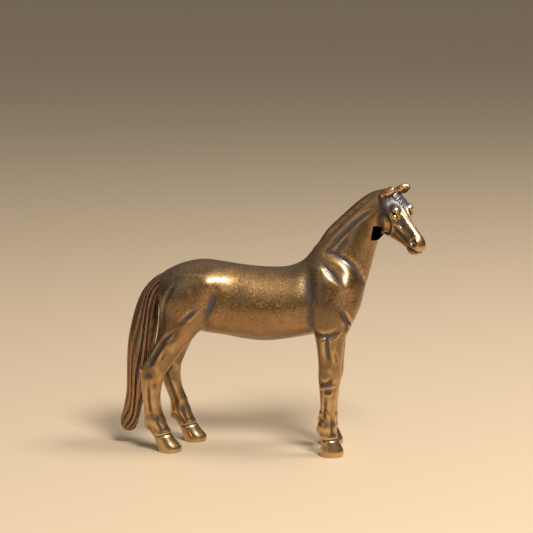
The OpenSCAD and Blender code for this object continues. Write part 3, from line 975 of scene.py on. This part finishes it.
def takePiece(shape, label, wanted):
    # one piece with a flat end on each of its seams
    quads = shape["quads"][label == wanted]
    used, where = np.unique(quads, return_inverse=True)
    quads = where.reshape(-1, 4)
    out = {key: shape[key][used] for key in ("vertices", "normals", "near", "wide", "grooveAndShade", "seam")}
    count = len(used)
    start = quads.ravel()
    end = np.roll(quads, -1, axis=1).ravel()
    codes, reverse = start * count + end, end * count + start
    rim = ~np.isin(codes, reverse)
    start, end = start[rim], end[rim]
    ends = []
    for seam in np.unique(out["seam"][start]):
        mine = out["seam"][start] == seam
        middle = out["vertices"][start[mine]].mean(0)
        centre = len(out["vertices"])
        centrePoint = {"vertices": middle, "normals": (0, 0, 1.0), "near": 0, "wide": 0, "grooveAndShade": 0}
        for key, value in centrePoint.items():
            out[key] = np.concatenate([out[key], np.array([value])])
        ends += [(int(b), int(a), centre) for a, b in zip(start[mine], end[mine])]
    out["faces"] = quads.tolist() + ends
    return out


def addPiece(name, shape, replaces, material):
    mesh = buildMesh(name, shape)
    mesh.materials.append(material)
    piece = putInScene(name, mesh)
    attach(piece, "root")
    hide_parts(replaces)


# shader values wrap a socket, so that sums are written as sums

class Value:
    def __init__(self, paint, socket):
        self.paint, self.socket = paint, socket

    def math(self, operation, *others):
        values = dict(enumerate((self,) + others))
        return self.paint.value("Math", {"operation": operation}, values)

    def __add__(self, other):
        return self.math("ADD", other)

    def __sub__(self, other):
        return self.math("SUBTRACT", other)

    def __mul__(self, other):
        return self.math("MULTIPLY", other)

    def __rsub__(self, other):
        return (self * -1) + other

    __radd__, __rmul__ = __add__, __mul__

    def held(self):
        return self.paint.value("Clamp", {}, {"Value": self})

    def between(self, low, high):
        # nought at low, one at high, with soft ends
        return self.paint.value("MapRange", {"interpolation_type": "SMOOTHSTEP"}, {
            "Value": self, "From Min": low, "From Max": high})


class Paint:
    def __init__(self, owner):
        # of a material or a world
        owner.use_nodes = True
        self.owner, self.tree = owner, owner.node_tree
        self.tree.nodes.clear()

    def node(self, kind, settings, sockets):
        node = self.tree.nodes.new("ShaderNode" + kind)
        for key, setting in settings.items():
            setattr(node, key, setting)
        for key, value in sockets.items():
            socket = node.inputs[key]
            if isinstance(value, Value):
                self.tree.links.new(value.socket, socket)
            else:
                socket.default_value = (*value, 1) if socket.type == "RGBA" and len(value) == 3 else value
        return node

    def value(self, kind, settings, sockets, output=0):
        return Value(self, self.node(kind, settings, sockets).outputs[output])

    def mix(self, share, first, second):
        # of two colours
        return self.value("Mix", {"data_type": "RGBA"}, {0: share, 6: first, 7: second}, 2)

    def noise(self, where, scale, detail=3.0, rough=0.55):
        sockets = {"Vector": where, "Scale": scale, "Detail": detail, "Roughness": rough}
        return self.value("TexNoise", {}, sockets)

    def finish(self, shader, output="OutputMaterial"):
        self.node(output, {}, {"Surface": shader})
        return self.owner


brassLook = {
    "rubbed": (0.72, 0.46, 0.2),       # where hands have polished it
    "gold": (0.37, 0.188, 0.052),
    "olive": (0.2, 0.118, 0.036),
    "umber": (0.065, 0.038, 0.02),     # the first skin of patina
    "slate": (0.075, 0.076, 0.088),    # and the oldest, in the hollows
    "roughness": 0.33,
    "lacquer": 0.9,
    "bump": 0.00004,
    "patina": 0.07,
}
hairLook = {
    **brassLook, "gold": (0.21, 0.105, 0.045), "olive": (0.11, 0.06, 0.03), "rubbed": (0.42, 0.24, 0.11),
    "umber": (0.035, 0.021, 0.012), "lacquer": 0.3, "patina": 0.16,
}
maneLook = {**hairLook, "patina": 0.32}
lockLook = {
    **brassLook, "gold": (0.16, 0.15, 0.15), "olive": (0.09, 0.09, 0.1), "rubbed": (0.3, 0.28, 0.28),
    "roughness": 0.42, "lacquer": 0.5, "patina": 0.12,
}
earBrassLook = {**brassLook, "gold": (0.8, 0.38, 0.11), "olive": (0.58, 0.26, 0.08), "patina": -0.2}
eyeLook = {
    **brassLook, "gold": (0.95, 0.58, 0.18), "olive": (0.88, 0.5, 0.14), "roughness": 0.3, "lacquer": 0.5,
    "patina": -0.5,
}


def antiqueBrass(name, look):
    paint = Paint(bpy.data.materials.new(name))
    where = paint.value("TexCoord", {}, {}, "Object")
    near, wide, grooveAndShade = [paint.value("Attribute", {"attribute_name": key}, {}, 2)
                          for key in ("near", "wide", "grooveAndShade")]
    x, z = [paint.value("SeparateXYZ", {}, {0: where}, axis) for axis in (0, 2)]
    broad = paint.noise(where, 140, 2)
    cloud = paint.noise(where, 520, 4, 0.6)
    fine = paint.noise(where, 2600, 3, 0.65)
    # sand pits left by the mould, thickest on the upper barrel and the quarters
    barrel = z.between(0.0225, 0.027) * (1 - z.between(0.0365, 0.04))
    barrel = barrel * (x + broad * 0.004).between(-0.026, -0.014)
    grain = paint.noise(where, 3600, 2, 0.6)
    pits = (fine + (cloud - 0.5) * 0.35).between(0.56, 0.7) * (0.25 + barrel * 0.75)
    mottled = (grain + (cloud - 0.5) * 0.5).between(0.44, 0.6) * (0.3 + barrel * 0.7)
    # the head kept more of its patina than the barrel, and the hooves and shins least
    handled = x.between(0.018, 0.02) * z.between(0.038, 0.041) * 0.3
    worn = (1 - z.between(0.0026, 0.0034)) * 0.6 + (1 - z.between(0.009, 0.016)) * 0.12
    # the dark carried from the sculpture is patina in the grooves, and along the bridge of the nose a painted
    # shade
    stainAndShade = grooveAndShade * (cloud * 1.5 + grain * 0.5 - 0.12) + handled
    hollow = stainAndShade + wide * 2.2 + near * 1.8
    hollow = hollow + (cloud - 0.5) * 0.8 + (broad - 0.5) * 0.8 + look["patina"]
    patina = hollow.between(0.22, 0.8)
    old = hollow.between(0.62, 1.15)
    high = (near * -3.0 + wide * -1.6 + (cloud - 0.5) * 0.5 + worn).between(0.12, 0.6)
    skin = paint.mix((broad * 0.5 + cloud * 0.5).between(0.36, 0.62), look["olive"], look["gold"])
    skin = paint.mix((high * 0.75).held(), skin, look["rubbed"])
    skin = paint.mix((mottled * 0.65 + pits * 0.35).held(), skin, look["umber"])
    skin = paint.mix((patina * 0.92).held(), skin, look["umber"])
    skin = paint.mix((old * 0.75).held(), skin, look["slate"])
    relief = cloud * 0.5 + fine * 0.5 + grain * 0.4 - pits * 0.9
    bump = paint.value("Bump", {}, {"Strength": 0.6, "Distance": look["bump"], "Height": relief})
    roughness = look["roughness"] + (cloud - 0.5) * 0.16 + patina * 0.08 + old * 0.1
    roughness = (roughness + barrel * 0.07 + pits * 0.12 - high * 0.06).held()
    metallic = 1 - (patina * 0.25 + old * 0.2).held()
    shader = paint.value("BsdfPrincipled", {}, {
        "Base Color": skin, "Metallic": metallic, "Roughness": roughness, "Normal": bump, "IOR": 1.5,
        "Coat Weight": look["lacquer"] * (1 - old * 0.8), "Coat Roughness": 0.24, "Coat IOR": 1.6})
    return paint.finish(shader)


def rodBrass(look):
    paint = Paint(bpy.data.materials.new("brassRod"))
    where = paint.value("TexCoord", {}, {}, "Object")
    drawn = paint.noise(where, 900, 2)
    skin = paint.mix(drawn, look["gold"], look["rubbed"])
    bump = paint.value("Bump", {}, {"Strength": 0.3, "Distance": 0.00002, "Height": drawn})
    shader = paint.value("BsdfPrincipled", {}, {
        "Base Color": skin, "Metallic": 1.0, "Roughness": 0.25 + drawn * 0.15, "Normal": bump})
    return paint.finish(shader)


brass = antiqueBrass("antiqueBrass", brassLook)
hairBrass = antiqueBrass("hairBrass", hairLook)
maneBrass = antiqueBrass("maneBrass", maneLook)
lockBrass = antiqueBrass("lockBrass", lockLook)
earBrass = antiqueBrass("earBrass", earBrassLook)
eyeBrass = antiqueBrass("eyeBrass", eyeLook)
rod = rodBrass(brassLook)

# the body, the legs and the neck come from one sculpture, the head from a finer one
body = sculpt(horse, (-24.8, -7.2, -0.6), (28.0, 7.2, 49.8), seams["step"])
label = labelQuads(body)
settleSeams(body, label)
for wanted, name in enumerate(pieceNames):
    if name != "head":
        addPiece(name, takePiece(body, label, wanted), name, brass)
print("body sculpted")

fineHead = sculpt(horse, (16.4, -7.6, 37.6), (28.4, 4.6, 50.2), seams["headStep"])
middle = fineHead["vertices"][fineHead["quads"]].mean(1)
label = np.where(headSide(middle)[0] > 0, 2, 1)
settleSeams(fineHead, label)
addPiece("head", takePiece(fineHead, label, 2), "head", brass)
print("head sculpted")

smallPieces = [
    ("mane", mane, (6, -2, 35), (22, 2, 50), 0.1, "antique_brass", maneBrass),
    ("tail", tail, (-29, -3, 1.5), (-18, 3, 34), 0.1, "antique_brass", hairBrass),
    ("forelock", forelock, (20, -4, 43), (27, 3, 51), 0.07, "antique_brass", lockBrass),
    ("left_ear", ear(1), (19, -3, 44), (27, 4, 52), 0.06, "antique_brass", earBrass),
    ("right_ear", ear(-1), (17, -6, 44), (27, 2, 52), 0.06, "antique_brass", earBrass),
    ("left_eye", eye(1), (20, -4, 40), (28, 3, 48), 0.05, "polished_brass", eyeBrass),
    ("right_eye", eye(-1), (20, -6, 40), (28, 1, 48), 0.05, "polished_brass", eyeBrass),
]
for name, model, low, high, step, slot, material in smallPieces:
    shape = sculpt(model, low, high, step, (0.2, 0.6))
    addPiece(name, shape, name, material)
print("hair, ears and eyes sculpted")

for node in ("neck_dowel", "head_dowel", "tail_dowel", "foreleg_dowels", "hind_leg_dowels"):
    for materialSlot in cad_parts[node].material_slots:
        materialSlot.material = rod

studio = {
    "floor": (0.6, 0.455, 0.295),
    "horizon": 0.07,
    "overhead": 0.36,
    # place, size, power and colour
    "key": ((265, 20, 450), 0.16, 1.3, (1.0, 0.98, 0.95)),
    "window": ((185, -290, 425), 0.17, 3.1, (1.0, 0.99, 0.98)),
    "fill": ((-260, -320, 200), 0.3, 0.1, (0.93, 0.96, 1.0)),
    "aim": (0, 0, 25),
}


def layFloor(c):
    mesh = bpy.data.meshes.new("floor")
    mesh.from_pydata([(-8, -8, 0), (8, -8, 0), (8, 8, 0), (-8, 8, 0)], [], [(0, 1, 2, 3)])
    paint = Paint(bpy.data.materials.new("floorPaint"))
    shader = paint.value("BsdfPrincipled", {}, {"Base Color": c["floor"], "Roughness": 0.65})
    mesh.materials.append(paint.finish(shader))
    floor = putInScene("floor", mesh)


def softbox(name, aim, place, size, power, warmth):
    light = bpy.data.lights.new(name, "AREA")
    light.shape = "DISK"
    light.size, light.energy, light.color = size, power, warmth
    lamp = putInScene(name, light)
    lamp.location = Vector(place) * mm
    lamp.rotation_euler = (Vector(aim) - Vector(place)).to_track_quat("-Z", "Y").to_euler()


def lightRoom(c):
    # a soft sky that darkens towards the horizon, as a room does
    room = Paint(bpy.data.worlds.new("room"))
    where = room.value("TexCoord", {}, {}, "Generated")
    rise = room.value("SeparateXYZ", {}, {0: where}, 2)
    sky = room.value("MapRange", {"interpolation_type": "SMOOTHSTEP"}, {
        "Value": rise, "From Min": 0.05, "From Max": 0.95, "To Min": c["horizon"], "To Max": c["overhead"]})
    shader = room.value("Background", {}, {"Color": (1.0, 0.97, 0.93), "Strength": sky})
    bpy.context.scene.world = room.finish(shader, "OutputWorld")
    for name in ("key", "window", "fill"):
        softbox(name, c["aim"], *c[name])


layFloor(studio)
lightRoom(studio)
bpy.context.scene.view_settings.view_transform = "Standard"
print("lit")
